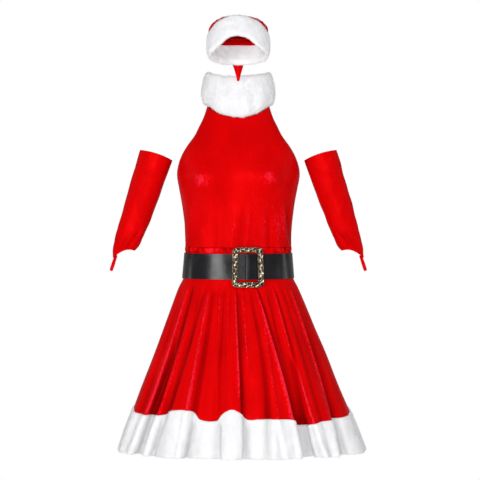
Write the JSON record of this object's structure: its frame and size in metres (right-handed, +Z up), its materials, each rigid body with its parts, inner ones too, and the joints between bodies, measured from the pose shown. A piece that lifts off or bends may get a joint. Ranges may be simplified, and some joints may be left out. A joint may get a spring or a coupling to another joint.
{
  "type": "christmas dress costume",
  "caption": "Halter dress costume in red velvet with plush collar and hem band, strap belt with frame buckle, finger-loop sleeves and plush-brimmed hat, hollow as worn.",
  "frame": {"origin": "middle of the neck opening, level with the collar's seam at the sides of the neck, where the wearer holds the costume", "axes": "+X to the right of someone facing the front, +Y towards the back of the garment, +Z up"},
  "size_m": [0.6142, 0.5139, 1.021],
  "materials": {
    "velvet": "matt velvet pile",
    "plush": "long soft plush",
    "strap": "gloss",
    "gold": "antique, cast relief"
  },
  "bodies": {
    "root": {"collar": "plush", "bodice_front": "velvet", "bodice_back_left": "velvet", "bodice_back_right": "velvet", "waist_casing": "velvet", "skirt_front": "velvet", "skirt_back": "velvet", "hem_band_front": "plush", "hem_band_back": "plush", "belt_strap": "strap", "buckle_frame": "gold", "buckle_bar": "gold", "sleeve_left": "velvet", "finger_loop_left": "velvet", "sleeve_right": "velvet", "finger_loop_right": "velvet", "hat_brim": "plush", "hat_crown": "velvet"}
  },
  "joints": []
}
